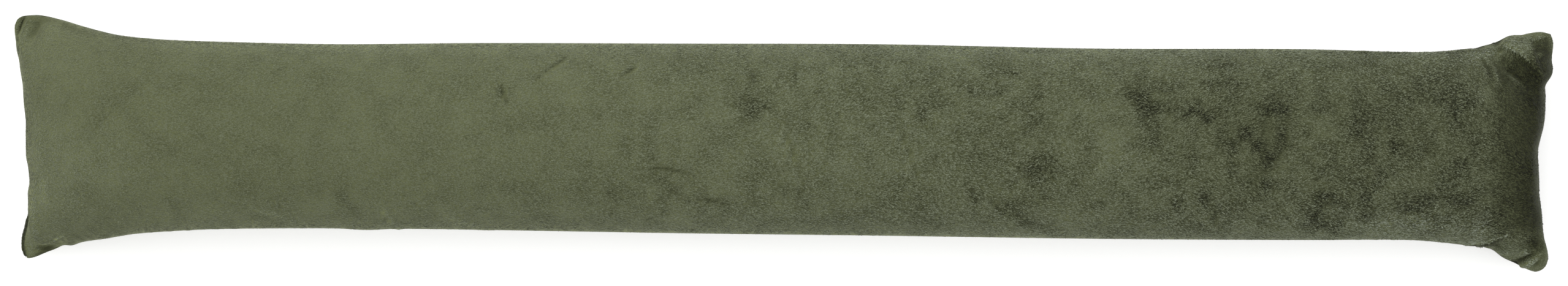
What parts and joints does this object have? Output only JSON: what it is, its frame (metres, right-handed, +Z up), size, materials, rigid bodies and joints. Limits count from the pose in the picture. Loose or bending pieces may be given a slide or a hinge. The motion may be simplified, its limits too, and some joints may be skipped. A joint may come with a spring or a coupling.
{
  "type": "draught excluder",
  "caption": "Long filled cushion of short-pile plush, sewn from a front and a back panel with soft corner ears, laid along the foot of a door to keep out draughts.",
  "frame": {"origin": "on the surface that the cushion lies on, under the middle of its outline", "axes": "+X along the cushion, +Y across it towards the back long seam, +Z up out of the front panel"},
  "size_m": [0.8998, 0.1414, 0.0762],
  "materials": {
    "plush": "olive green short-pile plush, matt, with a soft sheen and crushed patches"
  },
  "bodies": {
    "root": {"cushion": "plush"}
  },
  "joints": []
}
